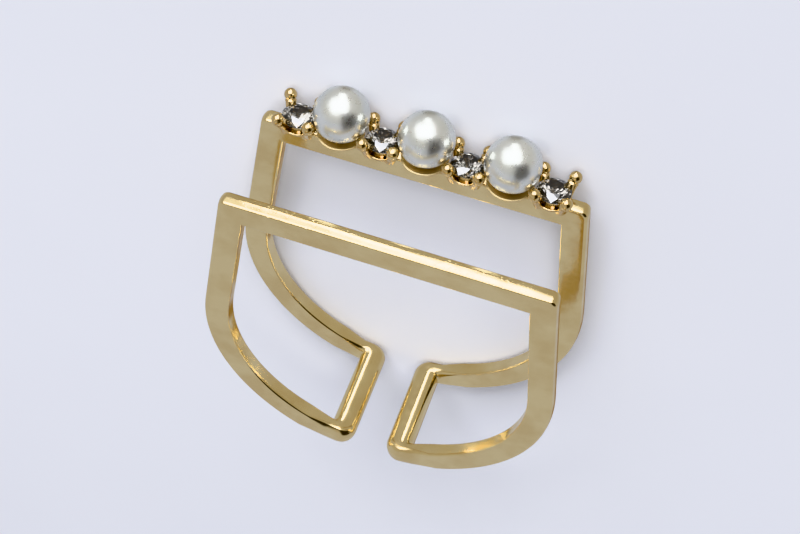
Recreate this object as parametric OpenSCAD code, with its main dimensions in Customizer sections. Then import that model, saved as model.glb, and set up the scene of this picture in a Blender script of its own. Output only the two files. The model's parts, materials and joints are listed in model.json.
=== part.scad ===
// Open two-bar ring: a plain band and a band with three pearls and four small stones,
// joined by two short crossbars at the open gap. It lies on its side, on its pearls and crossbars.

/* [Bands] */
// Inside diameter across the finger
finger_d = 17.2; // [16.8:0.1:18]
// Lean of each straight arm towards the middle, in degrees
arm_lean = 6.5; // [5.5:0.5:7.5]
// Thickness of the bands, from the inside to the outside
band_t = 1.4; // [1.3:0.05:1.5]
// Width of each band, along the finger
band_w = 0.9; // [0.8:0.05:1]
// Distance from one band to the other, centre to centre
band_pitch = 6; // [5.8:0.1:6.6]
// Radius of the bands' outer edges
outer_edge_r = 0.3; // [0.2:0.05:0.35]
// Radius of the corner where a bar turns into its arm
bar_corner_r = 0.4; // [0.35:0.05:0.6]

/* [Open gap] */
// Width of the open gap between the two crossbars
gap_w = 2; // [1.6:0.1:2.6]
// Width of each crossbar
crossbar_w = 1.5; // [1.4:0.05:1.6]
// Radius of the crossbars' long edges
crossbar_edge_r = 0.4; // [0.3:0.05:0.5]
// Radius of the turn from a band into its crossbar
turn_r = 0.85; // [0.8:0.05:0.9]

/* [Pearls] */
// Diameter of each pearl
pearl_d = 3; // [2.9:0.01:3.05]
// Distance from one pearl to the next
pearl_pitch = 4.63; // [4.6:0.01:4.7]
// Diameter of the shallow cup under each pearl
cup_d = 2.3; // [2.1:0.05:2.4]
// Height of the cup's rim over the bar
cup_rim_lift = 0.36; // [0.3:0.01:0.4]
// Thickness of the cup
cup_t = 0.12; // [0.1:0.01:0.14]
// Diameter of the peg that the pearl is glued on
peg_d = 0.7; // [0.6:0.05:0.9]
// Length of the peg inside the pearl
peg_len = 1.4; // [1:0.1:1.8]
// Space left for glue between the pearl, its cup and its peg
glue_gap = 0.04; // [0.03:0.01:0.06]

/* [Stones] */
// Diameter of each stone at its girdle
stone_d = 1.84; // [1.8:0.01:1.86]
// Height of the girdle over the bar
girdle_lift = 0.6; // [0.56:0.01:0.66]
// Diameter of the flat table on top, as a share of the stone's diameter
table_share = 0.57; // [0.53:0.01:0.62]
// Diameter of the seat under each stone, at its rim
seat_d = 1.9; // [1.8:0.01:2]
// Diameter of each prong's ball head
head_d = 0.66; // [0.6:0.01:0.68]
// Diameter of each prong's post
post_d = 0.52; // [0.44:0.01:0.52]
// Distance between prong heads along the bar
head_span_x = 1.68; // [1.66:0.01:1.72]
// Distance between prong heads across the bar
head_span_z = 1.92; // [1.9:0.01:2]
// Height of the prong heads over the girdle
head_lift = 0.36; // [0.32:0.01:0.4]
// Space between a stone and the notch cut for it in its prongs
notch_gap = 0.02; // [0.02:0.01:0.03]

/* [Hidden] */
$fn = 96;
gold = "#c8ab62";
pearl_white = "#f0f0ea";
clear_stone = "#dfe6ee";

// The ring is drawn with its finger axis along Z and its bars towards +Y.
// Z is 0 at the free side of the pearl band, and the plain band is the upper one.
finger_r = finger_d / 2;
outer_r = finger_r + band_t;
ring_w = band_pitch + band_w;
row_z = band_w / 2;
// How far a cut runs past what it cuts.
cut_over = 1;

// Each arm is straight, and touches the round run at its foot, arm_lean above the widest point.
// arm_x gives the place of a line along the arm, at distance r from the finger's axis.
arm_reach = outer_r + 2 * cut_over;
function arm_x(r, y) = (r - y * sin(arm_lean)) / cos(arm_lean);

// Round of the outer corner: a circle that touches the outer faces of bar and arm.
corner_y = outer_r - bar_corner_r;
corner_x = arm_x(outer_r - bar_corner_r, corner_y);
corner_dir = [cos(arm_lean), sin(arm_lean)];

// Each crossbar stands at crossbar_turn from straight down. Its faces lie crossbar_inset inside
// the bands' faces, so that no two faces nearly coincide.
crossbar_inset = 0.03;
crossbar_t = band_t - 2 * crossbar_inset;
crossbar_mid_r = finger_r + band_t / 2;
crossbar_turn = asin((gap_w + crossbar_w) / 2 / crossbar_mid_r);
turn_x = turn_r - crossbar_w / 2;
turn_z = turn_r + crossbar_inset;
// A band's round run ends where its turn into the crossbar begins.
band_end_turn = crossbar_turn + atan(turn_x / crossbar_mid_r);

// Pearls and stones alternate along the bar, with a stone at each end.
pearl_r = pearl_d / 2;
pearl_y = outer_r + cup_t + glue_gap + pearl_r;
cup_r = cup_d / 2;
cup_rise = cup_rim_lift - cup_t;
cup_curve_r = (pow(cup_r, 2) + pow(cup_rise, 2)) / (2 * cup_rise);
peg_r = peg_d / 2;
peg_top_y = pearl_y - pearl_r + peg_len;

// Round brilliant: the slopes are the usual facet angles.
stone_r = stone_d / 2;
girdle_y = outer_r + girdle_lift;
girdle_t = 0.03 * stone_d;
crown_angle = 34.5;
star_angle = 23;
upper_half_angle = 42.5;
pavilion_angle = 40.8;
lower_half_angle = 42;
table_r = stone_r * table_share;
crown_h = (stone_r - table_r) * tan(crown_angle);
// Half the angle between neighbours among the 8 main facets, and among the 16 halves.
main_half = 22.5;
half_half = 11.25;

// Each stone stands on four prongs over a small flared seat.
head_r = head_d / 2;
post_r = post_d / 2;
head_at = [head_span_x / 2, girdle_y + head_lift, head_span_z / 2];
post_foot = [0.55, outer_r - 0.25, 0.35];
seat_r = seat_d / 2;
seat_y = outer_r + 0.05;
seat_foot = [0.5, outer_r - 0.35];
seat_lip = 0.12;
seat_floor = [0.3, outer_r - 0.6];

// The ring rests on its pearls and on the two ends of the pearl band, tipped by rest_tilt.
rest_reach = pearl_y + (outer_r - outer_edge_r) * cos(band_end_turn);
rest_step = row_z - outer_edge_r;
rest_far = norm([rest_reach, rest_step]);
rest_tilt = asin((pearl_r - outer_edge_r) / rest_far) - atan2(rest_step, rest_reach);
rest_lift = pearl_r - pearl_y * sin(rest_tilt) - row_z * cos(rest_tilt);
// Its reach along Y runs from the upper end of the crossbars to the pearls, and its middle
// stands over the origin.
reach_up = pearl_y * cos(rest_tilt) - row_z * sin(rest_tilt) + pearl_r;
edge_down = (outer_r - crossbar_inset - crossbar_edge_r) * cos(crossbar_turn)
    + (crossbar_w / 2 - crossbar_edge_r) * sin(crossbar_turn);
reach_down = edge_down * cos(rest_tilt) + (ring_w - turn_z) * sin(rest_tilt) + crossbar_edge_r;
rest_shift = (reach_down - reach_up) / 2;

// Section of a band, filled inwards to a depth: x runs from the outer face inwards, y along
// the finger.
module band_section(depth) {
    translate([outer_edge_r, 0]) square([depth - outer_edge_r, band_w]);
    translate([0, outer_edge_r]) square([depth, band_w - 2 * outer_edge_r]);
    for (y = [outer_edge_r, band_w - outer_edge_r])
        translate([outer_edge_r, y]) circle(r = outer_edge_r);
}

// The left and right sides of the ring are mirror images.
module both_sides() {
    children();
    mirror([1, 0, 0]) children();
}

// All that lies within the outer face of the bar.
module within_bar() {
    translate([-outer_r - cut_over, outer_r, 0]) rotate([90, 0, 90])
        linear_extrude(height = 2 * (outer_r + cut_over))
            mirror([1, 0]) band_section(outer_r + cut_over);
}

// All that lies within the outer face of the right arm, above its foot.
module within_arm() {
    rotate([0, 0, arm_lean]) translate([outer_r, arm_reach, 0]) rotate([90, 0, 0])
        linear_extrude(height = arm_reach) mirror([1, 0]) band_section(2 * outer_r + cut_over);
}

// All that lies within the inner face of the right arm.
module within_arm_inside() {
    rotate([0, 0, arm_lean]) translate([finger_r - 2 * arm_reach, -arm_reach, -cut_over])
        cube([2 * arm_reach, 2 * arm_reach, band_w + 2 * cut_over]);
}

// The space within the inner faces of bar and arms.
module finger_space() {
    intersection() {
        translate([-outer_r, -cut_over, -cut_over])
            cube([2 * outer_r, finger_r + cut_over, band_w + 2 * cut_over]);
        within_arm_inside();
        mirror([1, 0, 0]) within_arm_inside();
    }
}

// The sharp outer corner outside its round, to be cut away.
module corner_waste() {
    touch = [corner_x, corner_y] + corner_dir * bar_corner_r;
    translate([0, 0, -cut_over]) linear_extrude(height = band_w + 2 * cut_over) difference() {
        polygon([
            [corner_x, corner_y],
            [corner_x, outer_r + cut_over],
            [arm_x(outer_r, outer_r) + cut_over, outer_r + cut_over],
            touch + corner_dir * cut_over,
        ]);
        translate([corner_x, corner_y]) circle(r = bar_corner_r);
    }
}

// The straight bar and both arms, down to their feet.
module bar_and_arms() {
    difference() {
        intersection() {
            within_bar();
            within_arm();
            mirror([1, 0, 0]) within_arm();
        }
        finger_space();
        both_sides() corner_waste();
    }
}

// The round run goes down from the arm's foot to the turn at the gap.
module round_run() {
    rotate([0, 0, arm_lean]) mirror([0, 1, 0])
        rotate_extrude(angle = 90 + arm_lean - band_end_turn)
            translate([outer_r, 0]) mirror([1, 0]) band_section(band_t);
}

module band() {
    bar_and_arms();
    both_sides() round_run();
}

// Section of a crossbar, straight below the finger's centre.
module crossbar_section() {
    x = crossbar_w / 2 - crossbar_edge_r;
    y = crossbar_t / 2 - crossbar_edge_r;
    translate([0, -crossbar_mid_r]) {
        square([crossbar_w, 2 * y], center = true);
        square([2 * x, crossbar_t], center = true);
        for (sx = [-1, 1], sy = [-1, 1])
            translate([sx * x, sy * y]) circle(r = crossbar_edge_r);
    }
}

// Quarter of a round-edged disc that leads from a band into a crossbar.
module turn() {
    y = crossbar_t / 2 - crossbar_edge_r;
    translate([turn_x, -crossbar_mid_r, turn_z]) rotate([90, 0, 0])
        rotate([0, 0, 180]) rotate_extrude(angle = 90) {
            translate([0, -crossbar_t / 2]) square([turn_r - crossbar_edge_r, crossbar_t]);
            translate([0, -y]) square([turn_r, 2 * y]);
            for (sy = [-1, 1])
                translate([turn_r - crossbar_edge_r, sy * y]) circle(r = crossbar_edge_r);
        }
}

module crossbar() {
    rotate([0, 0, crossbar_turn]) {
        translate([0, 0, turn_z]) linear_extrude(height = ring_w - 2 * turn_z) crossbar_section();
        // Its far half runs on into both bands.
        translate([0, 0, row_z]) linear_extrude(height = band_pitch) intersection() {
            crossbar_section();
            translate([turn_x, -outer_r - cut_over]) square([crossbar_w, band_t + 2 * cut_over]);
        }
        turn();
        translate([0, 0, ring_w]) mirror([0, 0, 1]) turn();
    }
}

// What is turned on a lathe stands on the bar, with its axis along Y, over the middle of the band.
module upright(x) {
    translate([x, 0, row_z]) rotate([-90, 0, 0]) children();
}

// Shallow cup and peg under one pearl.
module pearl_cup() {
    curve_y = outer_r + cup_t + cup_curve_r;
    rotate_extrude() intersection() {
        translate([0, curve_y]) difference() {
            circle(r = cup_curve_r + cup_t);
            circle(r = cup_curve_r);
        }
        translate([0, outer_r - cup_t]) square([cup_r, cup_rim_lift + 2 * cup_t]);
    }
    translate([0, 0, outer_r - cup_t]) cylinder(r = peg_r, h = peg_top_y - outer_r + cup_t);
}

// Straight round post from one point to another.
module post(from, to) {
    run = to - from;
    translate(from) rotate([0, acos(run.z / norm(run)), atan2(run.y, run.x)])
        cylinder(r = post_r, h = norm(run));
}

module prong(sx, sz) {
    head = [sx * head_at.x, head_at.y, row_z + sz * head_at.z];
    foot = [sx * post_foot.x, post_foot.y, row_z + sz * post_foot.z];
    post(foot, head);
    translate(head) sphere(r = head_r);
}

module seat() {
    rotate_extrude() polygon([
        [0, seat_foot.y],
        seat_foot,
        [seat_r, seat_y - seat_lip],
        [seat_r, seat_y],
        [0, seat_y],
    ]);
}

// Space for the stone: the seat's hollow, and the notches that grip the girdle.
module stone_space() {
    r = stone_r + notch_gap;
    top = girdle_y + girdle_t / 2 + notch_gap;
    low = girdle_y - girdle_t / 2 - notch_gap;
    rotate_extrude() polygon([
        [0, seat_floor.y],
        seat_floor,
        [seat_r - seat_lip, seat_y],
        [seat_r - seat_lip, low - (stone_r - seat_r + seat_lip) * tan(pavilion_angle)],
        [r, low],
        [r, top],
        [0, top + r * tan(crown_angle)],
    ]);
}

module pearl_row_metal() {
    for (i = [-1:1]) upright(i * pearl_pitch) pearl_cup();
    for (i = [-1.5:1.5]) {
        upright(i * pearl_pitch) seat();
        translate([i * pearl_pitch, 0, 0])
            for (sx = [-1, 1], sz = [-1, 1]) prong(sx, sz);
    }
}

// The ring as it rests: tipped onto its pearls, over the origin.
module at_rest() {
    translate([0, rest_shift, rest_lift]) rotate([rest_tilt, 0, 0]) children();
}

module frame() {
    color(gold) at_rest() difference() {
        union() {
            band();
            translate([0, 0, band_pitch]) band();
            both_sides() crossbar();
            pearl_row_metal();
        }
        for (i = [-1.5:1.5]) upright(i * pearl_pitch) stone_space();
    }
}

// One pearl, half drilled for its peg.
module pearl(i) {
    color(pearl_white) at_rest() upright(i * pearl_pitch) difference() {
        translate([0, 0, pearl_y]) sphere(r = pearl_r);
        translate([0, 0, pearl_y - pearl_r - cut_over])
            cylinder(r = peg_r + glue_gap, h = peg_len + glue_gap + cut_over);
    }
}

module pearl_left() {
    pearl(-1);
}

module pearl_middle() {
    pearl(0);
}

module pearl_right() {
    pearl(1);
}

// Eight-sided cone that narrows upwards, one ring of eight facets. At height 0 its flats lie
// flat_r from the axis, and the first of them faces flat_turn. It starts well below the stone.
module facet_ring(angle, flat_r, flat_turn) {
    foot_r = flat_r + stone_d / tan(angle);
    translate([0, 0, -stone_d]) rotate([0, 0, flat_turn - main_half])
        cylinder(r1 = foot_r / cos(main_half), r2 = 0, h = foot_r * tan(angle), $fn = 8);
}

// Round brilliant: table, stars, kites and halves above the girdle, mains and halves below it.
module brilliant() {
    halves_r = stone_r * cos(half_half);
    star_foot_r = table_r * cos(main_half) + crown_h / tan(star_angle);
    translate([0, 0, girdle_y]) intersection() {
        translate([0, 0, -stone_d]) cylinder(r = stone_r, h = stone_d + girdle_t / 2 + crown_h);
        translate([0, 0, girdle_t / 2]) intersection() {
            facet_ring(crown_angle, stone_r, 0);
            facet_ring(star_angle, star_foot_r, main_half);
            facet_ring(upper_half_angle, halves_r, half_half);
            facet_ring(upper_half_angle, halves_r, -half_half);
        }
        mirror([0, 0, 1]) translate([0, 0, girdle_t / 2]) intersection() {
            facet_ring(pavilion_angle, stone_r, 0);
            facet_ring(lower_half_angle, halves_r, half_half);
            facet_ring(lower_half_angle, halves_r, -half_half);
        }
    }
}

module stone(i) {
    color(clear_stone) at_rest() upright(i * pearl_pitch) brilliant();
}

module stone_1() {
    stone(-1.5);
}

module stone_2() {
    stone(-0.5);
}

module stone_3() {
    stone(0.5);
}

module stone_4() {
    stone(1.5);
}

frame();
pearl_left();
pearl_middle();
pearl_right();
stone_1();
stone_2();
stone_3();
stone_4();
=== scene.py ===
"""Looks of the open two-bar pearl ring: plated metal, glued pearls and prong-set stones.

Each piece is modelled in millimetres in the ring's own position, with the finger axis along Z, the
flat bars towards +Y and the plain band towards +Z. It is then set down in metres, as the ring rests.
"""

import json
import logging
import math
from dataclasses import dataclass
from enum import Enum
from typing import Callable, Sequence

import bmesh
import bpy
from mathutils import Matrix, Vector

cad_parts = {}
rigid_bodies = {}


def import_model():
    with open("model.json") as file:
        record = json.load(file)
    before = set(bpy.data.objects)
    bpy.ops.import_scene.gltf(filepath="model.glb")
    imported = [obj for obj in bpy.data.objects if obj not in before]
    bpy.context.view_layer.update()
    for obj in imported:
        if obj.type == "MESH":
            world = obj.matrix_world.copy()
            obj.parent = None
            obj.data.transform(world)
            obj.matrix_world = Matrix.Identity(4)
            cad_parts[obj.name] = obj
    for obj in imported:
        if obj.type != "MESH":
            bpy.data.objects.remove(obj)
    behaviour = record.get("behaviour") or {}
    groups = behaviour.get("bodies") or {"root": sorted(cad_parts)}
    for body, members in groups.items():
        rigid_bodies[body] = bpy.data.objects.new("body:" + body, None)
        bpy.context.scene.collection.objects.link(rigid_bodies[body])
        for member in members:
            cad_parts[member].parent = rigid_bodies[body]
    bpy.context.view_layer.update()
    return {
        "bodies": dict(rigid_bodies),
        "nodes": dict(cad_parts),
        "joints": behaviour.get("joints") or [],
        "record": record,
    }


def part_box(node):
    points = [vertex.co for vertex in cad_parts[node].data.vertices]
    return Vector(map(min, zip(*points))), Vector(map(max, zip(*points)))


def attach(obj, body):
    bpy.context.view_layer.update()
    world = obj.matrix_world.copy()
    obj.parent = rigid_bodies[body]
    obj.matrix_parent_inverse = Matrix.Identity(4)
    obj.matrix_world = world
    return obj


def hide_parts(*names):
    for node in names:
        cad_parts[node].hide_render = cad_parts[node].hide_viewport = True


LOG = logging.getLogger("pearl_ring")
MM = 0.001
QUARTER_TURN = math.pi / 2
WELD_MM = 0.0005
Profile = Sequence[tuple[float, float]]
Test = Callable[[Vector, Vector], bool]
Colour = tuple[float, float, float, float]
Span = tuple[float, float]
Axes = tuple[float, float, float]
Socket = bpy.types.NodeSocket
Source = Socket | float | Colour


class Pick(Enum):
    """What a selection holds."""

    VERTS = "VERT"
    EDGES = "EDGE"


class Slot(Enum):
    """The record's material slots."""

    GOLD = "gold_plate"
    PEARL = "pearl"
    STONE = "clear_stone"


def put_down_all() -> None:
    """Deselects every object."""
    for obj in list(bpy.context.selected_objects):
        obj.select_set(False)


def heading_at(angle: float) -> Vector:
    """Unit vector in the XY plane, counterclockwise from +X."""
    return Vector((math.cos(angle), math.sin(angle), 0))


def swing(angle: float, axis: str, pivot: Vector) -> None:
    """Rotates the selection counterclockwise. Without a window the operator turns the other way."""
    bpy.ops.transform.rotate(value=-angle, orient_axis=axis, center_override=tuple(pivot))


def spin(angle: float, centre: Vector, steps: int) -> None:
    """Sweeps the selected edges counterclockwise about an axis along Z."""
    bpy.ops.mesh.spin(steps=steps, angle=-angle, center=tuple(centre), axis=(0, 0, 1))


def lead(way: Vector, steps: int) -> None:
    """Leads the selected outline straight ahead, in even steps."""
    for _ in range(steps):
        bpy.ops.mesh.extrude_edges_move(TRANSFORM_OT_translate={"value": tuple(way / steps)})


def arc(centre: tuple[float, float], radius: float, start: float, end: float, steps: int) -> Profile:
    """Points along an arc of a profile.

    Args:
        centre: Radius and height of the arc's centre.
        radius: The arc's own radius.
        start: First angle in degrees, where 0 is outwards and 90 is up.
        end: Last angle in degrees.
        steps: How many steps lie between them.

    Returns:
        The points, ends included.
    """
    angles = [math.radians(start + (end - start) * i / steps) for i in range(steps + 1)]
    return [(centre[0] + radius * math.cos(a), centre[1] + radius * math.sin(a)) for a in angles]


class Workpiece:
    """One mesh on the bench, shaped with the modelling operators."""

    def __init__(self, name: str, add: Callable[[], object]) -> None:
        """Adds the primitive that the piece starts from.

        Args:
            name: The object's name.
            add: Adds one primitive, which becomes the active object.
        """
        put_down_all()
        add()
        self._adopt(name)
        bpy.ops.object.transform_apply(location=True, rotation=True, scale=True)

    def _adopt(self, name: str) -> None:
        """Takes the active object as this piece's own, and names it."""
        self.obj: bpy.types.Object = bpy.context.object
        self.obj.name = self.obj.data.name = name

    def hold(self) -> None:
        """Makes the piece the only selected object."""
        put_down_all()
        self.obj.select_set(True)
        bpy.context.view_layer.objects.active = self.obj

    def open(self) -> None:
        """Opens the piece in edit mode, with all of it selected."""
        self.hold()
        bpy.ops.object.mode_set(mode="EDIT")
        bpy.ops.mesh.select_mode(type="VERT")
        bpy.ops.mesh.select_all(action="SELECT")

    def close(self) -> None:
        """Leaves edit mode."""
        bpy.ops.object.mode_set(mode="OBJECT")

    def pick(self, kind: Pick, test: Test) -> None:
        """Selects parts of the open mesh by their place.

        Args:
            kind: Whether vertices or edges are selected.
            test: Says whether a part is wanted. It takes a vertex's place and normal, or an edge's
                middle and the way from its start to its end.
        """
        bpy.ops.mesh.select_mode(type=kind.value)
        bpy.ops.mesh.select_all(action="DESELECT")
        mesh = bmesh.from_edit_mesh(self.obj.data)
        if kind is Pick.VERTS:
            for vert in mesh.verts:
                vert.select = test(vert.co, vert.normal)
        else:
            for edge in mesh.edges:
                start, end = (vert.co for vert in edge.verts)
                edge.select = test((start + end) / 2, end - start)
        mesh.select_flush_mode()
        bmesh.update_edit_mesh(self.obj.data)

    def face_outwards(self) -> None:
        """Closes doubled seams of the mesh and turns all faces outwards."""
        self.open()
        bpy.ops.mesh.remove_doubles(threshold=WELD_MM)
        bpy.ops.mesh.normals_make_consistent(inside=False)
        self.close()

    def modify(self, kind: str, **settings: object) -> None:
        """Adds a modifier and applies it.

        Args:
            kind: The modifier's type.
            **settings: Its settings by name.
        """
        self.hold()
        bpy.ops.object.modifier_add(type=kind)
        modifier = self.obj.modifiers[-1]
        for key, value in settings.items():
            setattr(modifier, key, value)
        bpy.ops.object.modifier_apply(modifier=modifier.name)

    def move(self, place: Matrix) -> None:
        """Moves the piece, and applies its new place to the mesh.

        Args:
            place: The move from the origin to the new place.
        """
        self.hold()
        self.obj.matrix_world = place
        bpy.ops.object.transform_apply(location=True, rotation=True, scale=True)

    def copy(self, name: str) -> "Workpiece":
        """Copies the piece, with a mesh of its own.

        Args:
            name: The copy's name.

        Returns:
            The copy.
        """
        self.hold()
        bpy.ops.object.duplicate(linked=False)
        twin = object.__new__(Workpiece)
        twin._adopt(name)
        return twin

    def join(self, others: Sequence["Workpiece"]) -> None:
        """Joins other pieces into this one.

        Args:
            others: The pieces, which are then gone.
        """
        self.hold()
        for other in others:
            other.obj.select_set(True)
        bpy.ops.object.join()

    def cut(self, cutter: "Workpiece") -> None:
        """Cuts another piece's form out of this one, and drops the cutter."""
        self.modify("BOOLEAN", operation="DIFFERENCE", solver="EXACT", object=cutter.obj)
        bpy.data.objects.remove(cutter.obj)

    def smooth(self, degrees: float) -> None:
        """Shades the piece smooth, apart from edges that are sharper than an angle."""
        self.hold()
        bpy.ops.object.shade_smooth_by_angle(angle=math.radians(degrees))


def turned(name: str, profile: Profile, sides: int) -> Workpiece:
    """Makes a round piece as on a lathe, about Z.

    Args:
        name: The piece's name.
        profile: Radius and height of each ring, from the bottom of the piece or of its hollow.
        sides: How many sides the piece has.

    Returns:
        The closed piece.
    """
    radius, height = profile[0]
    first = {"vertices": sides, "radius": radius, "fill_type": "NGON", "location": (0, 0, height)}
    piece = Workpiece(name, lambda: bpy.ops.mesh.primitive_circle_add(**first))
    piece.open()
    bpy.ops.mesh.select_mode(type="FACE")
    for next_radius, next_height in profile[1:]:
        rise = (0, 0, next_height - height)
        bpy.ops.mesh.extrude_region_move(TRANSFORM_OT_translate={"value": rise})
        share = next_radius / radius
        bpy.ops.transform.resize(value=(share, share, 1), center_override=(0, 0, next_height))
        radius, height = next_radius, next_height
    piece.close()
    piece.face_outwards()
    return piece


@dataclass(frozen=True)
class Ring:
    """Where the ring is, and its main sizes in millimetres, read from the frame."""

    centre: Vector
    tilt: float
    finger_r: float
    outer_r: float
    width: float
    pearl_d: float
    pearl_pitch: float
    band_w: float = 0.9

    @classmethod
    def from_frame(cls, frame: dict) -> "Ring":
        """Reads the finger's mount and the nodes' boxes.


        Returns:
            The ring's place and sizes.
        """
        mount = frame["record"]["mounts"][0]
        axis = Vector(mount["axis"])
        low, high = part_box("frame")
        left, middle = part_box("pearl_left"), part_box("pearl_middle")
        return cls(
            centre=Vector(mount["pos_m"]),
            tilt=math.atan2(-axis.y, axis.z),
            finger_r=mount["dims"]["r_mm"],
            outer_r=(high.x - low.x) / 2 / MM,
            width=mount["dims"]["length_mm"],
            pearl_d=(left[1].x - left[0].x) / MM,
            pearl_pitch=(middle[0].x - left[0].x) / MM,
        )

    @property
    def row(self) -> Vector:
        """Middle of the pearl bar's outer face, where cups and seats stand."""
        return Vector((0, self.outer_r, (self.band_w - self.width) / 2))

    def pose(self) -> Matrix:
        """The move from the ring's own position to where it rests, both in metres."""
        return Matrix.Translation(self.centre) @ Matrix.Rotation(self.tilt, 4, "X")

    def stand(self, piece: Workpiece, along: float, lift: float = 0.0, turn: float = 0.0,
              lean: float = 0.0) -> None:
        """Stands a piece on the pearl bar, some pitches along, turned, and leaning off the plain band."""
        upright = Matrix.Rotation(-QUARTER_TURN - lean, 4, "X") @ Matrix.Rotation(turn, 4, "Z")
        piece.move(Matrix.Translation(self.row + Vector((along * self.pearl_pitch, lift, 0))) @ upright)

    def set_down(self, piece: Workpiece, slot: Slot, material: bpy.types.Material) -> None:
        """Puts a finished piece where it rests, in metres, and dresses it.

        Args:
            piece: The finished piece.
            slot: The record's material slot; not used.
            material: The piece's finish.
        """
        piece.move(self.pose() @ Matrix.Scale(MM, 4))
        piece.obj.data.materials.clear()
        piece.obj.data.materials.append(material)
        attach(piece.obj, "root")
        piece.obj.data.calc_loop_triangles()
        LOG.info("%s: %d triangles", piece.obj.name, len(piece.obj.data.loop_triangles))


@dataclass
class Bands:
    """Both bands and both crossbars: one closed loop of metal, modelled as a quarter."""

    ring: Ring
    band_t: float = 1.4
    outer_edge: float = 0.17
    inner_edge: float = 0.12
    dome: float = 0.035
    arm_lean: float = math.radians(6.5)
    corner_r: float = 0.4
    corner_fillet: float = 0.12
    crossbar_w: float = 1.5
    crossbar_edge: float = 0.58
    gap_w: float = 2.0
    turn_r: float = 0.85
    window_fillet: float = 0.16
    blend_len: float = 1.5
    blend_cuts: int = 4
    crisp: float = 32
    edge_steps: int = 6
    flat_cuts: int = 5
    corner_steps: int = 8
    arm_steps: int = 16
    run_steps: int = 30
    bar_steps: int = 8
    touching: float = 0.001

    def build(self) -> Workpiece:
        """Models a quarter of the loop and mirrors it.

        Returns:
            The loop of metal.
        """
        piece = self._crossbar_and_turn()
        self._run(piece)
        self._arm_corner_and_bar(piece)
        piece.modify("MIRROR", use_axis=(True, False, True), merge_threshold=self.touching)
        piece.face_outwards()
        return piece

    @property
    def _mid_r(self) -> float:
        """Radius of the middle of the metal."""
        return self.ring.finger_r + self.band_t / 2

    @property
    def _crossbar_turn(self) -> float:
        """How far round the right crossbar's middle lies from straight below, in radians."""
        return math.asin((self.gap_w + self.crossbar_w) / 2 / self._mid_r)

    @property
    def _side_z(self) -> float:
        """The pearl band's free side, on the finger axis."""
        return -self.ring.width / 2

    @property
    def _window_corner(self) -> Vector:
        """Pivot just inside the window's corner, with the crossbar straight below."""
        x = self.crossbar_w / 2 + self.window_fillet
        return Vector((x, -self._mid_r, self._side_z + self.ring.band_w + self.window_fillet))

    def _section(self, at: Vector, width: float, outer: float, inner: float, across: str) -> Workpiece:
        """Makes the outline of the metal at one place, straight below the finger.

        Args:
            at: The outline's middle.
            width: Its width.
            outer: Radius of its outer corners.
            inner: Radius of its inner corners.
            across: The axis of its width, X or Z.

        Returns:
            The outline, as a loop of edges.
        """
        turn = (0, 0, 0) if across == "X" else (0, QUARTER_TURN, 0)
        size = (width, self.band_t, 1) if across == "X" else (1, self.band_t, width)
        piece = Workpiece(
            "ring_bands",
            lambda: bpy.ops.mesh.primitive_plane_add(size=1, location=at, rotation=turn),
        )
        piece.open()
        bpy.ops.transform.resize(value=size, center_override=tuple(at))
        for radius, side in ((outer, -1), (inner, 1)):
            corner_y = at.y + side * self.band_t / 2
            piece.pick(Pick.VERTS, lambda co, _: abs(co.y - corner_y) < self.touching)
            bpy.ops.mesh.bevel(
                offset_type="OFFSET", offset=radius, segments=self.edge_steps, affect="VERTICES"
            )
        # The steps round a corner are shorter: a quarter turn is 1.57 times its radius.
        longest_step = 1.7 * max(outer, inner) / self.edge_steps
        piece.pick(Pick.EDGES, lambda _, way: way.length > longest_step)
        bpy.ops.mesh.subdivide(number_cuts=self.flat_cuts)
        self._raise_dome(piece, at, width / 2 - outer, across)
        bpy.ops.mesh.select_all(action="SELECT")
        bpy.ops.mesh.delete(type="ONLY_FACE")
        piece.close()
        return piece

    def _raise_dome(self, piece: Workpiece, at: Vector, reach: float, across: str) -> None:
        """Domes the outer side of an open outline.

        Args:
            piece: The outline.
            at: Its middle.
            reach: How far its flat outer side reaches from the middle.
            across: The axis of its width, X or Z.
        """
        axis = "XYZ".index(across)
        outer_y = at.y - self.band_t / 2
        for i in range(1, self.flat_cuts + 1):
            share = 2 * i / (self.flat_cuts + 1) - 1
            place = at[axis] + share * reach
            piece.pick(
                Pick.VERTS,
                lambda co, _: max(abs(co.y - outer_y), abs(co[axis] - place)) < self.touching,
            )
            rise = self.dome * (1 - share**2)
            bpy.ops.transform.translate(value=(0, -rise, 0))

    def _fan(self, pivot: Vector, outline: Sequence[Vector], axis: str) -> None:
        """Leads the selected outline round a corner, as a fan that follows the outer edge.

        Args:
            pivot: The fan's pivot, just inside the corner.
            outline: Points of the outer edge, the first of them where the outline is now.
            axis: The pivot's axis, Y or Z.
        """
        def heading(point: Vector) -> float:
            """The way from the pivot to a point, as an angle."""
            way = point - pivot
            return math.atan2(way.y, way.x) if axis == "Z" else math.atan2(-way.z, way.x)

        for last, point in zip(outline, outline[1:]):
            lead(Vector(), 1)
            step = (heading(point) - heading(last) + math.pi) % (2 * math.pi) - math.pi
            swing(step, axis, pivot)
            share = (point - pivot).length / (last - pivot).length
            value = (share, share, 1) if axis == "Z" else (share, 1, share)
            bpy.ops.transform.resize(value=value, center_override=tuple(pivot))

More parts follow.
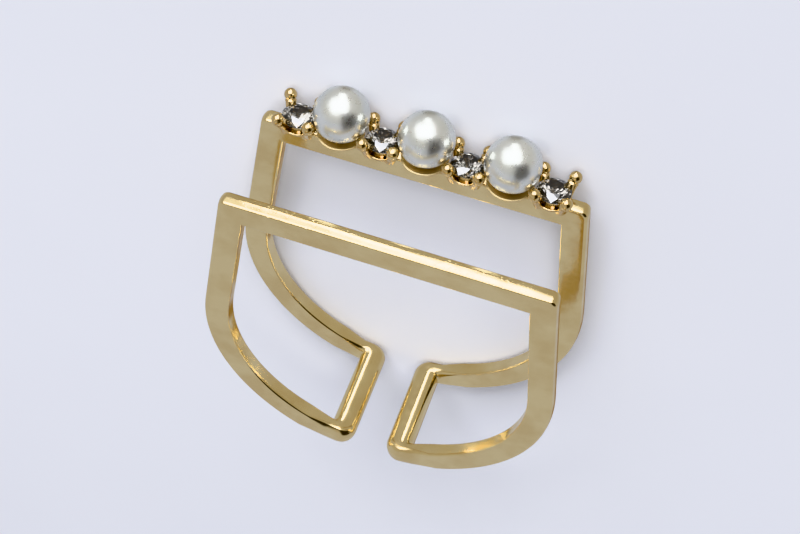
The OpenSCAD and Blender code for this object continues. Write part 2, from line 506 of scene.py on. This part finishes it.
    def _crossbar_and_turn(self) -> Workpiece:
        """Models half of the right crossbar and its turn, with the crossbar straight below.

        Returns:
            The piece.
        """
        half_w = self.crossbar_w / 2
        down = Vector((0, -self._mid_r, 0))
        edge = self.crossbar_edge
        piece = self._section(down, self.crossbar_w, edge, edge, "X")
        pivot = self._window_corner
        centre = down + Vector((self.turn_r - half_w, 0, self._side_z + self.turn_r))
        outline = [Vector((-half_w, down.y, pivot.z))]
        for i in range(self.corner_steps + 1):
            angle = math.pi + QUARTER_TURN * i / self.corner_steps
            outline.append(centre + self.turn_r * Vector((math.cos(angle), 0, math.sin(angle))))
        outline.append(Vector((pivot.x, down.y, self._side_z)))
        piece.open()
        lead(Vector((0, 0, pivot.z)), 1)
        self._fan(pivot, outline, "Y")
        piece.close()
        return piece

    def _run(self, piece: Workpiece) -> None:
        """Blends the turn into the round run, and takes the run up to the arm's foot.

        Args:
            piece: The crossbar and its turn.
        """
        turn_end = self._window_corner.x
        start = math.asin(turn_end / self._mid_r) + self.blend_len / self._mid_r
        down = Vector((0, -self._mid_r, self.ring.row.z))
        loop = self._section(down, self.ring.band_w, self.outer_edge, self.inner_edge, "Z")
        loop.move(Matrix.Rotation(start, 4, "Z"))
        piece.join([loop])
        ahead = heading_at(start)
        piece.open()
        piece.pick(
            Pick.EDGES,
            lambda co, _: min(abs(co.dot(ahead)), abs(co.x - turn_end)) < self.touching,
        )
        bpy.ops.mesh.bridge_edge_loops(number_cuts=self.blend_cuts, interpolation="LINEAR")
        piece.pick(Pick.EDGES, lambda co, _: abs(co.dot(ahead)) < self.touching)
        spin(QUARTER_TURN + self.arm_lean - self._crossbar_turn - start, Vector(), self.run_steps)
        piece.close()
        piece.move(Matrix.Rotation(self._crossbar_turn, 4, "Z"))

    def _crossing(self, distance: float) -> Vector:
        """Where lines along the arm and along the bar meet, at one distance from the finger's axis."""
        return Vector((distance * (1 - math.sin(self.arm_lean)) / math.cos(self.arm_lean), distance, 0))

    def _arm_corner_and_bar(self, piece: Workpiece) -> None:
        """Adds the straight arm, the corner and half of the bar.

        Args:
            piece: The metal up to the arm's foot.
        """
        out = heading_at(self.arm_lean)
        along = heading_at(self.arm_lean + QUARTER_TURN)
        pivot = self._crossing(self.ring.finger_r - self.corner_fillet)
        round_at = self._crossing(self.ring.outer_r - self.corner_r)
        outline = [pivot + (self.corner_fillet + self.band_t) * out]
        for i in range(self.corner_steps + 1):
            angle = self.arm_lean + (QUARTER_TURN - self.arm_lean) * i / self.corner_steps
            outline.append(round_at + self.corner_r * heading_at(angle))
        outline.append(Vector((pivot.x, self.ring.outer_r, 0)))
        piece.open()
        piece.pick(Pick.EDGES, lambda co, _: abs(co.dot(along)) < self.touching and co.x > 0)
        lead(along * pivot.dot(along), self.arm_steps)
        self._fan(pivot, outline, "Z")
        lead(Vector((-pivot.x, 0, 0)), self.bar_steps)
        piece.close()


@dataclass
class PearlCup:
    """Shallow dish and peg that one pearl is glued on, with its foot on the bar."""

    rim_r: float = 1.22
    rim_lift: float = 0.32
    wall: float = 0.11
    dish_r: float = 3.6
    bowl_from: float = 0.1
    lip_arc: tuple[float, float] = (-40, 130)
    foot_r: float = 0.42
    foot_depth: float = 0.2
    foot_flare: float = 0.03
    foot_bend: float = 0.02
    peg_r: float = 0.34
    peg_top: float = 1.5
    peg_fillet: float = 0.04
    peg_chamfer: float = 0.08
    bowl_steps: int = 6
    lip_steps: int = 8
    sides: int = 72

    def _bowl(self, start: float, end: float, radius: float) -> Profile:
        """Points along the dish.

        Args:
            start: Radius of the first point.
            end: Radius of the last point.
            radius: Radius of the dish's own curve.

        Returns:
            The points, ends included.
        """
        centre = self.rim_lift + math.sqrt(self.dish_r**2 - self.rim_r**2)
        steps = self.bowl_steps
        radii = [start + (end - start) * i / steps for i in range(steps + 1)]
        return [(r, centre - math.sqrt(radius**2 - r**2)) for r in radii]

    def build(self) -> Workpiece:
        """Turns the cup, upright on Z with the bar's top at height 0.

        Returns:
            The cup.
        """
        lip = self.wall / 2
        bend = self.foot_bend
        profile = [(self.foot_r, -self.foot_depth), (self.foot_r, -bend)]
        profile += [(self.foot_r + self.foot_flare, bend)]
        profile += self._bowl(self.foot_r + self.bowl_from, self.rim_r, self.dish_r + self.wall)
        profile += arc((self.rim_r, self.rim_lift - lip), lip, *self.lip_arc, self.lip_steps)
        profile += self._bowl(self.rim_r - self.wall, self.peg_r + self.peg_fillet, self.dish_r)
        chamfer = self.peg_chamfer
        profile += [(self.peg_r, self.peg_top - chamfer), (self.peg_r - chamfer, self.peg_top)]
        return turned("pearl_cup", profile, self.sides)


@dataclass
class StoneSetting:
    """Small flared seat with four leaning prongs, for one stone.

    The seat's profiles give radius and height over the bar's top. The prong's root gives shares of
    the post's radius, and its flare what the radius is more than the post's, with heights over its
    foot.
    """

    seat_r: float = 0.95
    seat_wall: float = 0.1
    rim_z: float = 0.1
    outside: Profile = ((0.3, -0.5), (0.46, -0.46), (0.6, -0.36), (0.76, -0.2), (0.88, -0.04), (0.94, 0.05))
    inside: Profile = ((0.8, 0.0), (0.7, -0.1), (0.5, -0.25), (0.25, -0.36), (0.08, -0.38))
    drilled: Profile = ((0.4, -0.47), (0.86, 0.0), (0.9, 0.5))
    post_r: float = 0.285
    root: Profile = ((0.4, -0.1), (0.9, -0.04))
    flare: Profile = (
        (0.06, 0.08), (0.04, 0.25), (0.01, 0.5), (0, 0.7), (0, 0.88), (0.008, 0.98), (0.03, 1.08),
    )
    head_r: float = 0.345
    head_arc: tuple[float, float] = (-40, 86)
    foot: tuple[float, float, float] = (0.55, 0.35, -0.25)
    head: tuple[float, float, float] = (0.84, 0.96, 0.96)
    rim_steps: int = 8
    head_steps: int = 14
    seat_sides: int = 64
    prong_sides: int = 28

    def _seat(self) -> Workpiece:
        """Turns the hollow seat, upright on Z with the bar's top at height 0.

        Returns:
            The seat.
        """
        rim_r = self.seat_wall / 2
        rim = arc((self.seat_r - rim_r, self.rim_z), rim_r, 0, 180, self.rim_steps)
        return turned("stone_setting", [*self.outside, *rim, *self.inside], self.seat_sides)

    def _prong(self, side_x: int, side_y: int) -> Workpiece:
        """Turns one prong with its ball head and leans it outwards.

        Args:
            side_x: -1 for the left side and 1 for the right one.
            side_y: The same across the bar.

        Returns:
            The prong.
        """
        side = Vector((side_x, side_y, 1))
        foot = Vector(self.foot) * side
        way = Vector(self.head) * side - foot
        profile = [(self.post_r * share, height) for share, height in self.root]
        profile += [(self.post_r + more, height) for more, height in self.flare]
        profile += arc((0, way.length), self.head_r, *self.head_arc, self.head_steps)
        piece = turned("prong", profile, self.prong_sides)
        piece.move(Matrix.Translation(foot) @ way.to_track_quat("Z", "Y").to_matrix().to_4x4())
        return piece

    def build(self) -> Workpiece:
        """Joins the seat and its four prongs.

        Returns:
            The setting, upright on Z with the bar's top at height 0.
        """
        setting = self._seat()
        setting.join([self._prong(x, y) for x in (-1, 1) for y in (-1, 1)])
        return setting

    def hollow(self) -> Workpiece:
        """Makes the form that is drilled out of the bar, upright on Z with the bar's top at 0."""
        return turned("seat_hollow", self.drilled, self.seat_sides)


@dataclass
class Brilliant:
    """Round brilliant: a blank that is cut back facet by facet."""

    stone_d: float = 1.84
    girdle_share: float = 0.03
    table_share: float = 0.57
    crown: float = math.radians(34.5)
    star: float = math.radians(23)
    upper_half: float = math.radians(42.5)
    pavilion: float = math.radians(40.8)
    lower_half: float = math.radians(42)
    sides: int = 64
    cut_threshold: float = 0.00001

    def _cut(self, slope: float, flat_r: float, heading: float, side: int) -> None:
        """Cuts one facet of the open stone.

        Args:
            slope: The facet's angle to the girdle.
            flat_r: Its distance from the axis at the girdle's edge.
            heading: Which way it faces, in radians.
            side: 1 on the crown and -1 on the pavilion.
        """
        out = heading_at(heading)
        edge = Vector((0, 0, side * self.stone_d * self.girdle_share / 2))
        normal = out * math.sin(slope) + Vector((0, 0, side * math.cos(slope)))
        bpy.ops.mesh.select_all(action="SELECT")
        bpy.ops.mesh.bisect(
            plane_co=out * flat_r + edge,
            plane_no=normal,
            use_fill=True,
            clear_outer=True,
            threshold=self.cut_threshold,
        )

    def build(self) -> Workpiece:
        """Cuts the stone, upright on Z with its girdle's middle at height 0.

        Returns:
            The stone.
        """
        radius = self.stone_d / 2
        table_r = radius * self.table_share
        crown_h = (radius - table_r) * math.tan(self.crown)
        top = self.stone_d * self.girdle_share / 2 + crown_h
        blank = {"vertices": self.sides, "radius": radius, "depth": top + radius}
        middle = (0, 0, (top - radius) / 2)
        piece = Workpiece(
            "stone", lambda: bpy.ops.mesh.primitive_cylinder_add(location=middle, **blank)
        )
        eighth = math.pi / 4
        halves_r = radius * math.cos(eighth / 4)
        star_r = table_r * math.cos(eighth / 2) + crown_h / math.tan(self.star)
        piece.open()
        for i in range(8):
            heading = i * eighth
            self._cut(self.crown, radius, heading, 1)
            self._cut(self.star, star_r, heading + eighth / 2, 1)
            self._cut(self.pavilion, radius, heading, -1)
            for turn in (-eighth / 4, eighth / 4):
                self._cut(self.upper_half, halves_r, heading + turn, 1)
                self._cut(self.lower_half, halves_r, heading + turn, -1)
        bpy.ops.mesh.select_all(action="SELECT")
        bpy.ops.mesh.faces_shade_flat()
        piece.close()
        piece.face_outwards()
        return piece


@dataclass
class Pearl:
    """One round pearl, half drilled for its peg."""

    ring: Ring
    hole_r: float = 0.39
    hole_depth: float = 1.44
    mouth_w: float = 0.02
    mouth_depth: float = 0.03
    top_angle: float = 89
    sides: int = 128
    arc_steps: int = 88

    def build(self) -> Workpiece:
        """Turns the pearl, upright on Z with its middle at the origin.

        Returns:
            The pearl.
        """
        radius = self.ring.pearl_d / 2
        mouth = math.degrees(math.acos((self.hole_r + self.mouth_w) / radius))
        profile = [(self.hole_r, depth - radius) for depth in (self.hole_depth, self.mouth_depth)]
        profile += arc((0, 0), radius, -mouth, self.top_angle, self.arc_steps)
        return turned("pearl", profile, self.sides)


@dataclass
class PearlRow:
    """The three pearls on their cups, each at its place along the bar, in pitches of the pearls."""

    ring: Ring
    places: tuple[tuple[int, str], ...] = ((-1, "left"), (0, "middle"), (1, "right"))
    pearl_lift: float = 0.16
    crisp: float = 40

    def build(self, plate: bpy.types.Material, lustre: bpy.types.Material) -> None:
        """Builds the cups and the pearls, and sets them down.

        Args:
            plate: The cups' finish.
            lustre: The pearls' finish.
        """
        cup_model = PearlCup().build()
        pearl_model = Pearl(self.ring).build()
        for along, side in self.places:
            cup = cup_model.copy(f"pearl_cup_{side}")
            self.ring.stand(cup, along)
            cup.smooth(self.crisp)
            self.ring.set_down(cup, Slot.GOLD, plate)
            pearl = pearl_model.copy(f"round_pearl_{side}")
            self.ring.stand(pearl, along, self.pearl_lift + self.ring.pearl_d / 2)
            pearl.smooth(self.crisp)
            self.ring.set_down(pearl, Slot.PEARL, lustre)
            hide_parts(f"pearl_{side}")
        for model in (cup_model, pearl_model):
            bpy.data.objects.remove(model.obj)


@dataclass
class StoneRow:
    """The four stones in their settings, between and beside the pearls."""

    ring: Ring
    places: tuple[float, ...] = (-1.5, -0.5, 0.5, 1.5)
    turns: tuple[float, ...] = (0.2, 0.9, 0.5, 0.05)
    girdle_lift: float = 0.6
    lean: float = math.radians(3.5)
    crisp: float = 40

    def drill(self, bands: Workpiece) -> None:
        """Drills the seats' insides out of the bar.

        Args:
            bands: The loop of metal, in the ring's own position.
        """
        for along in self.places:
            hollow = StoneSetting().hollow()
            self.ring.stand(hollow, along)
            bands.cut(hollow)

    def build(self, plate: bpy.types.Material, clear: bpy.types.Material) -> None:
        """Builds the settings and the stones, and sets them down.

        Args:
            plate: The settings' finish.
            clear: The stones' finish.
        """
        setting_model = StoneSetting().build()
        stone_model = Brilliant().build()
        for number, (along, turn) in enumerate(zip(self.places, self.turns), 1):
            mount = setting_model.copy(f"stone_setting_{number}")
            self.ring.stand(mount, along)
            mount.smooth(self.crisp)
            self.ring.set_down(mount, Slot.GOLD, plate)
            stone = stone_model.copy(f"brilliant_{number}")
            self.ring.stand(stone, along, self.girdle_lift, turn, self.lean)
            self.ring.set_down(stone, Slot.STONE, clear)
            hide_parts(f"stone_{number}")
        for model in (setting_model, stone_model):
            bpy.data.objects.remove(model.obj)


class Wiring:
    """A node tree, built node by node."""

    def __init__(self, tree: bpy.types.NodeTree) -> None:
        """Starts on a node tree."""
        self.tree = tree

    def feed(self, target: Socket, value: Source | Vector) -> None:
        """Links another socket to the target, or sets the target to a plain value.

        Args:
            target: The socket that takes it.
            value: The other socket or the plain value.
        """
        if isinstance(value, Socket):
            self.tree.links.new(value, target)
        else:
            target.default_value = value

    def add(self, kind: str, feeds: dict[str, Source | Vector] | None = None,
            **settings: object) -> bpy.types.Node:
        """Adds a node.

        Args:
            kind: The node's type.
            feeds: What its sockets take, by name.
            **settings: Its settings by name.

        Returns:
            The node.
        """
        node = self.tree.nodes.new(kind)
        for key, value in settings.items():
            setattr(node, key, value)
        for name, value in (feeds or {}).items():
            self.feed(node.inputs[name], value)
        return node

    def blend(self, share: Source, under: Source, over: Source, kind: str = "RGBA") -> Socket:
        """Blends two colours, or two numbers where the kind is FLOAT."""
        feeds = {"Factor": share, "A": under, "B": over}
        return self.add("ShaderNodeMix", feeds, data_type=kind).outputs["Result"]

    def remap(self, value: Socket, low: Source, high: Source,
              start: float = 0.3, end: float = 0.7, shape: str = "LINEAR") -> Socket:
        """Gives low where a value is at its start, high at its end, and what lies between."""
        feeds = {"Value": value, "From Min": start, "From Max": end, "To Min": low, "To Max": high}
        return self.add("ShaderNodeMapRange", feeds, interpolation_type=shape).outputs["Result"]


class Nodes(Wiring):
    """A material's node tree."""

    def __init__(self, name: str) -> None:
        """Starts a material with one shader.

        Args:
            name: The material's name.
        """
        self.material = bpy.data.materials.new(name)
        self.material.use_nodes = True
        super().__init__(self.material.node_tree)
        self.shader = self.tree.nodes["Principled BSDF"]
        self.place = self.add("ShaderNodeTexCoord").outputs["Object"]

    def set(self, **values: Source) -> None:
        """Feeds the shader's own sockets, by name, with underscores for spaces."""
        for key, value in values.items():
            self.feed(self.shader.inputs[key.replace("_", " ")], value)

    def noise(self, per_mm: float, detail: float, stretch: Axes = (1, 1, 1)) -> Socket:
        """Adds noise of a real scale on object coordinates.

        Args:
            per_mm: How many grains lie along a millimetre.
            detail: The noise's detail.
            stretch: How much finer it is along each axis.

        Returns:
            The noise's value.
        """
        scale = Vector(stretch) * per_mm / MM
        spread = self.add("ShaderNodeMapping", {"Vector": self.place, "Scale": scale})
        feeds = {"Vector": spread.outputs["Vector"], "Scale": 1.0, "Detail": detail}
        return self.add("ShaderNodeTexNoise", feeds).outputs["Fac"]

    def height_share(self, start_mm: float, end_mm: float) -> Socket:
        """Rises from 0 to 1 between two places along Y."""
        parts = self.add("ShaderNodeSeparateXYZ", {"Vector": self.place})
        return self.remap(parts.outputs["Y"], 0.0, 1.0, start_mm * MM, end_mm * MM)

    def ramp(self, fac: Socket, stops: Span, *colours: Colour) -> Socket:
        """Adds a colour ramp.

        Args:
            fac: What drives it.
            stops: The places of its two stops.
            *colours: Their colours.

        Returns:
            The ramp's colour.
        """
        ramp = self.add("ShaderNodeValToRGB", {"Fac": fac})
        for element, place, colour in zip(ramp.color_ramp.elements, stops, colours, strict=True):
            element.position = place
            element.color = colour
        return ramp.outputs["Color"]

    def bump(self, height: Socket, depth_mm: float, strength: Source,
             under: Socket | None = None) -> Socket:
        """Adds relief.

        Args:
            height: The relief's height, from 0 to 1.
            depth_mm: How deep that is.
            strength: How strongly it shows.
            under: Relief that this one lies on.

        Returns:
            The normal.
        """
        feeds = {"Height": height, "Distance": depth_mm * MM, "Strength": strength}
        if under is not None:
            feeds["Normal"] = under
        return self.add("ShaderNodeBump", feeds).outputs["Normal"]


@dataclass(frozen=True)
class GoldPlate:
    """Pale gold plating, polished by hand: soft waves and fine scratches, with painted shade in its
    crevices.

    From wave_mm on, its lengths are depths of relief.
    """

    name: str = "gold_plate"
    bright: Colour = (0.83, 0.68, 0.38, 1)
    deep: Colour = (0.64, 0.45, 0.19, 1)
    # Colour of the painted shade that ambient occlusion mixes into the crevices.
    painted_shade: Colour = (0.46, 0.25, 0.08, 1)
    roughness: Span = (0.1, 0.2)
    mottling: float = 0.4
    tone_stops: Span = (0.35, 0.62)
    # Painted shade in crevices: its largest share, the occlusion span it fades over, and how far the
    # occlusion reaches.
    most_painted_shade: float = 0.45
    crevice_shade: Span = (0.15, 0.7)
    crevice_mm: float = 0.45
    bars_from_mm: float = 7.1
    bars_fade_mm: float = 1.0
    streaks_per_mm: Axes = (0.14, 1.6, 1.6)
    round_per_mm: Axes = (20, 1.2, 20)
    along_per_mm: Axes = (1.2, 24, 24)
    cluster_edge: Span = (0.5, 0.62)
    pit_edge: Span = (0.62, 0.7)
    soft_strength: float = 0.3
    grain_strength: float = 0.14
    wave_mm: float = 0.05
    streak_mm: float = 0.05
    grain_mm: float = 0.006
    pit_mm: float = 0.008
    scratch_mm: float = 0.004

    def make(self) -> bpy.types.Material:
        """Builds the material.

        Returns:
            The material.
        """
        sheet = Nodes(self.name)
        tone = sheet.ramp(sheet.noise(0.5, detail=3), self.tone_stops, self.deep, self.bright)
        # Painted shade: where ambient occlusion finds a crevice, the plate's colour is darkened towards the
        # painted shade colour.
        reach = {"Distance": self.crevice_mm * MM}
        shade = sheet.add("ShaderNodeAmbientOcclusion", reach, samples=4)
        hollow = sheet.remap(shade.outputs["AO"], self.most_painted_shade, 0.0, *self.crevice_shade)
        plate = sheet.blend(self.mottling, self.bright, tone)
        sheet.set(
            Metallic=1.0,
            Base_Color=sheet.blend(hollow, plate, self.painted_shade),
            Roughness=sheet.remap(sheet.noise(2.5, detail=4), *self.roughness),
            Normal=self._relief(sheet),
        )
        return sheet.material

    def _relief(self, sheet: Nodes) -> Socket:
        """Adds what polishing and wear leave: waves, streaks along the bars, pits and scratches.

        Args:
            sheet: The material's nodes.

        Returns:
            The normal.
        """
        on_bars = sheet.height_share(self.bars_from_mm, self.bars_from_mm + self.bars_fade_mm)
        waves = sheet.bump(sheet.noise(0.9, detail=1), self.wave_mm, self.soft_strength)
        lines = sheet.noise(1.0, 2, self.streaks_per_mm)
        streaks = sheet.bump(lines, self.streak_mm, on_bars, waves)
        specks = sheet.noise(9.0, detail=3)
        grain = sheet.bump(specks, self.grain_mm, self.grain_strength, streaks)
        spots = sheet.remap(sheet.noise(6.0, detail=1), 1.0, 0.0, *self.pit_edge)
        clusters = sheet.remap(sheet.noise(0.3, detail=1), 0.0, on_bars, *self.cluster_edge)
        pits = sheet.bump(spots, self.pit_mm, clusters, grain)
        round_bands = sheet.noise(1.0, 2, self.round_per_mm)
        along_bars = sheet.noise(1.0, 2, self.along_per_mm)
        scratches = sheet.blend(on_bars, round_bands, along_bars, "FLOAT")
        return sheet.bump(scratches, self.scratch_mm, self.soft_strength, pits)


@dataclass(frozen=True)
class PearlLustre:
    """White imitation pearl: a soft metallic sheen with a satin skin."""

    white: Colour = (0.86, 0.87, 0.83, 1)
    cool: Colour = (0.76, 0.78, 0.74, 1)
    tone_stops: Span = (0.35, 0.65)
    sheen: float = 0.94
    roughness: Span = (0.26, 0.32)
    skin_mm: float = 0.006
    skin_strength: float = 0.25

    def make(self) -> bpy.types.Material:
        """Builds the material.

        Returns:
            The material.
        """
        sheet = Nodes("pearl")
        sheet.set(
            Metallic=self.sheen,
            Base_Color=sheet.ramp(sheet.noise(0.8, detail=2), self.tone_stops, self.cool, self.white),
            Roughness=sheet.remap(sheet.noise(3.0, detail=3), *self.roughness),
            Normal=sheet.bump(sheet.noise(5.0, detail=2), self.skin_mm, self.skin_strength),
        )
        return sheet.material


@dataclass(frozen=True)
class ClearStone:
    """Clear faceted stone of high refraction, with faint polish marks."""

    tint: Colour = (0.13, 0.122, 0.11, 1)
    refraction: float = 2.0
    roughness: Span = (0.0, 0.015)

    def make(self) -> bpy.types.Material:
        """Builds the material.

        Returns:
            The material.
        """
        sheet = Nodes("clear_stone")
        polish = sheet.remap(sheet.noise(4.0, detail=2), *self.roughness)
        sheet.set(
            Transmission_Weight=1.0, IOR=self.refraction, Base_Color=self.tint, Roughness=polish
        )
        return sheet.material


@dataclass(frozen=True)
class FloorPaper:
    """Plain pale matt paper."""

    light: Colour = (0.705, 0.717, 0.78, 1)
    dark: Colour = (0.68, 0.692, 0.755, 1)
    tone_stops: Span = (0.3, 0.7)
    roughness: float = 0.7
    shine: float = 0.2

    def make(self) -> bpy.types.Material:
        """Builds the material.

        Returns:
            The material.
        """
        sheet = Nodes("floor_paper")
        tone = sheet.ramp(sheet.noise(0.05, detail=4), self.tone_stops, self.dark, self.light)
        sheet.set(Roughness=self.roughness, Specular_IOR_Level=self.shine, Base_Color=tone)
        return sheet.material


@dataclass(frozen=True)
class Viewpoint:
    """The photograph's viewpoint, from a pinhole camera fitted to the ring's edges."""

    yaw: float = 0.2398
    pitch: float = 0.9286
    roll: float = 0.1029
    aside: float = -1.3845
    above: float = -5.2516
    distance: float = 89.843
    focal_px: float = 1646.4
    frame_px: float = 800
    sensor_mm: float = 36.0

    def place(self, ring: Ring) -> None:
        """Places the scene's camera.

        Args:
            ring: The ring that it looks at.
        """
        lens = bpy.data.cameras.new("camera")
        lens.sensor_width = self.sensor_mm
        lens.lens = self.sensor_mm * self.focal_px / self.frame_px
        lens.clip_start = MM
        camera = bpy.data.objects.new("camera", lens)
        bpy.context.scene.collection.objects.link(camera)
        back, right, up = self.axes()
        spot = self.distance * back - self.aside * right - self.above * up
        spot.z += ring.width / 2
        turn = Matrix((right, up, back)).transposed().to_4x4()
        camera.matrix_world = ring.pose() @ Matrix.Translation(spot * MM) @ turn
        bpy.context.scene.camera = camera

    def axes(self) -> tuple[Vector, Vector, Vector]:
        """The camera's axes in the ring's own position.

        Returns:
            The way back from the ring to the camera, the picture's right and its up.
        """
        flat = math.cos(self.pitch)
        back = Vector((math.sin(self.yaw) * flat, math.sin(self.pitch), math.cos(self.yaw) * flat))
        level = Vector((math.cos(self.yaw), 0, -math.sin(self.yaw)))
        rise = back.cross(level)
        right = math.cos(self.roll) * level + math.sin(self.roll) * rise
        up = math.cos(self.roll) * rise - math.sin(self.roll) * level
        return back, right, up


@dataclass(frozen=True)
class Patch:
    """A soft-edged region of the surroundings, by its place in the photograph's view."""

    aside: tuple[float, float]
    above: tuple[float, float]
    colour: Colour
    softness: float = 9.0

    def mask(self, sky: "Sky") -> Socket:
        """The region's mask on a sky, from 0 to 1."""
        spans = ((sky.aside, self.aside), (sky.above, self.above))
        return sky.reckon("MULTIPLY", *(sky.between(*span, self.softness) for span in spans))


class Sky(Wiring):
    """The surroundings' node tree, with angles measured from the photograph's view axis."""

    def __init__(self, ring: Ring, view: Viewpoint) -> None:
        """Starts the surroundings.

        Args:
            ring: The ring in the middle.
            view: The photograph's viewpoint.
        """
        world = bpy.data.worlds.new("surroundings")
        bpy.context.scene.world = world
        world.use_nodes = True
        super().__init__(world.node_tree)
        self.output = self.tree.nodes["Background"].inputs["Color"]
        turn = ring.pose().to_3x3()
        back, right, up = (turn @ axis for axis in view.axes())
        way = self.add("ShaderNodeTexCoord").outputs["Generated"]
        self.height = self.along(way, turn @ Vector((0, 1, 0)))
        self.aside = self.degrees("ARCSINE", self.along(way, right))
        self.above = self.degrees("ARCTAN2", self.along(way, up), self.along(way, back))

    def reckon(self, operation: str, *values: Source | Vector, kind: str = "ShaderNodeMath") -> Socket:
        """Adds one step of arithmetic.

        Args:
            operation: The operation's name.
            *values: Sockets or plain values.
            kind: The node's type.

        Returns:
            The result.
        """
        node = self.add(kind, operation=operation)
        for socket, value in zip(node.inputs, values):
            self.feed(socket, value)
        return node.outputs["Value"]

    def along(self, way: Socket, axis: Vector) -> Socket:
        """Measures a direction along an axis of length 1."""
        return self.reckon("DOT_PRODUCT", way, axis, kind="ShaderNodeVectorMath")

    def degrees(self, operation: str, *values: Socket) -> Socket:
        """Works out an angle in degrees, by an inverse function's name and what it takes."""
        return self.reckon("DEGREES", self.reckon(operation, *values))

    def rise(self, value: Socket, start: float, end: float) -> Socket:
        """Rises smoothly from 0 at the start to 1 at the end, which may be the lower one."""
        return self.remap(value, 0.0, 1.0, start, end, "SMOOTHSTEP")

    def between(self, value: Socket, ends: tuple[float, float], soft: float) -> Socket:
        """Is 1 between two ends, and falls off over a soft edge at each of them."""
        edges = ((ends[0] - soft / 2, ends[0] + soft / 2), (ends[1] + soft / 2, ends[1] - soft / 2))
        return self.reckon("MULTIPLY", *(self.rise(value, *edge) for edge in edges))


@dataclass(frozen=True)
class Lamp:
    """A soft square light that the ring doesn't mirror, with its lengths in metres."""

    name: str
    towards: tuple[float, float, float]
    distance: float
    size: float
    watts: float

    def hang(self) -> None:
        """Adds the light, facing the ring."""
        data = bpy.data.lights.new(self.name, "AREA")
        data.shape = "SQUARE"
        data.size = self.size
        data.energy = self.watts
        lamp = bpy.data.objects.new(self.name, data)
        bpy.context.scene.collection.objects.link(lamp)
        way = Vector(self.towards).normalized()
        lamp.location = way * self.distance
        lamp.rotation_mode = "QUATERNION"
        lamp.rotation_quaternion = way.to_track_quat("Z", "Y")
        lamp.visible_glossy = False


@dataclass
class Studio:
    """Pale floor, soft lights and the surroundings that the ring mirrors."""

    ring: Ring
    view: Viewpoint
    floor_size: float = 2.0
    floor_cuts: int = 3
    table: Colour = (0.58, 0.595, 0.66, 1)
    room: Colour = (0.53, 0.51, 0.47, 1)
    horizon: tuple[float, float] = (-0.05, 0.3)
    window: Patch = Patch((-32, 17), (10, 50), (10.4, 10.6, 11.2, 1))
    window_top: Patch = Patch((0.5, 6.5), (40, 77), (22.0, 22.5, 23.0, 1), 4.0)
    glow: Patch = Patch((-32, 17), (45, 70), (1.2, 1.2, 1.2, 1))
    wall: Patch = Patch((-50, 20), (60, 94), (0.52, 0.51, 0.5, 1), 12.0)
    amber: Patch = Patch((10, 25.5), (-185, -162), (0.33, 0.22, 0.09, 1), 5.0)
    dark_front: Patch = Patch((1, 58), (-70, -1), (0.02, 0.012, 0.002, 1), 18.0)
    dark_back: Patch = Patch((-4, 16), (112, 142), (0.25, 0.22, 0.17, 1))
    lamps: tuple[Lamp, ...] = (
        Lamp("key", (0.3, 0.8, 0.85), 0.3, 0.12, 0.26),
        Lamp("top", (0.0, 0.15, 1.0), 0.3, 0.12, 0.13),
        Lamp("fill", (-0.8, -0.15, 0.55), 0.056, 0.02, 0.0024),
    )

    def build(self) -> None:
        """Builds the floor, the surroundings and the lights."""
        bpy.context.scene.view_settings.view_transform = "Khronos PBR Neutral"
        self._floor()
        self._surroundings()
        for lamp in self.lamps:
            lamp.hang()

    def _floor(self) -> None:
        """Lays the floor, which the ring neither mirrors nor refracts."""
        size = self.floor_size
        floor = Workpiece("floor", lambda: bpy.ops.mesh.primitive_plane_add(size=size))
        floor.open()
        bpy.ops.mesh.subdivide(number_cuts=self.floor_cuts)
        floor.close()
        floor.obj.data.materials.append(FloorPaper().make())
        floor.obj.visible_glossy = False
        floor.obj.visible_transmission = False

    def _surroundings(self) -> None:
        """Paints the surroundings: table and room, with the patches over them."""
        sky = Sky(self.ring, self.view)
        colour = sky.blend(sky.rise(sky.height, *self.horizon), self.table, self.room)
        for patch in (
            self.amber, self.dark_back, self.wall, self.glow, self.window_top, self.window,
            self.dark_front,
        ):
            colour = sky.blend(patch.mask(sky), colour, patch.colour)
        sky.feed(sky.output, colour)


def main() -> None:
    """Builds the ring piece by piece."""
    logging.basicConfig(level=logging.INFO, format="%(name)s %(message)s")
    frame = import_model()
    ring = Ring.from_frame(frame)
    view = Viewpoint()
    view.place(ring)
    Studio(ring, view).build()

    gold = GoldPlate().make()
    # A lighter, rougher copy of the gold for the cups: its lighter colours are painted light in the dishes
    # under the pearls, and its painted shade in crevices is mild and orange.
    satin = GoldPlate(
        name="satin_lit_plate",
        bright=(0.93, 0.78, 0.46, 1),
        deep=(0.8, 0.6, 0.3, 1),
        painted_shade=(0.85, 0.58, 0.28, 1),
        roughness=(0.5, 0.58),
    ).make()
    # A darker, warmer copy of the gold for the stone settings: painted shade and painted brown reflections
    # on the prongs, with a deeper painted shade in their crevices.
    shaded_warm_gold = GoldPlate(
        name="shaded_warm_plate",
        bright=(0.78, 0.6, 0.31, 1),
        deep=(0.46, 0.28, 0.1, 1),
        painted_shade=(0.28, 0.14, 0.045, 1),
    ).make()
    lustre = PearlLustre().make()
    clear = ClearStone().make()

    stones = StoneRow(ring)
    bands_model = Bands(ring)
    bands = bands_model.build()
    stones.drill(bands)
    bands.smooth(bands_model.crisp)
    ring.set_down(bands, Slot.GOLD, gold)
    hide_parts("frame")
    PearlRow(ring).build(satin, lustre)
    stones.build(shaded_warm_gold, clear)


if __name__ == "__main__":
    main()
